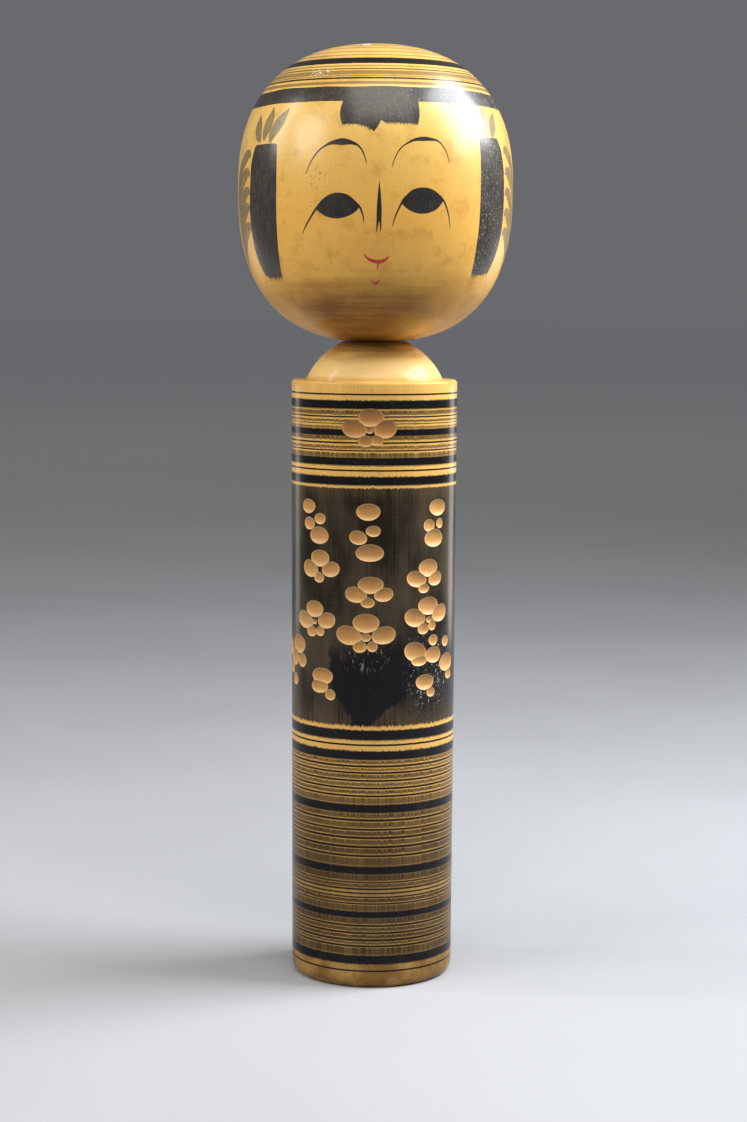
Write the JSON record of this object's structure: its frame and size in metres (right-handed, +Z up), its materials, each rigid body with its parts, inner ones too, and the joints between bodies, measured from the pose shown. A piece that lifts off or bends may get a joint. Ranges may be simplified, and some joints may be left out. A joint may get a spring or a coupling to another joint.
{
  "type": "kokeshi doll",
  "caption": "Tall turned wooden doll: round painted head on a hidden peg that turns on the domed shoulder of a ringed cylindrical body with carved blossoms.",
  "frame": {"origin": "centre of the flat base, on the surface the doll stands on", "axes": "+Z up along the turning axis, the painted face looks towards -Y, +X is the doll's left-hand side as the viewer sees it on the right"},
  "size_m": [0.1332, 0.1332, 0.455],
  "materials": {
    "painted_body_wood": "turned wood painted in black, brown and yellow rings under a clear gloss lacquer, with raw carved petals",
    "amber_head_wood": "aged amber turned wood with black brushwork under a clear gloss lacquer",
    "plain_peg_wood": "plain unlacquered turned wood"
  },
  "bodies": {
    "body": {"body": "painted_body_wood"},
    "head": {"head": "amber_head_wood", "neck_peg": "plain_peg_wood"}
  },
  "joints": [
    {"name": "head_turn", "type": "hinge", "parent": "body", "child": "head", "pos_m": [0, 0, 0.313], "axis": [0, 0, 1], "continuous": true}
  ]
}
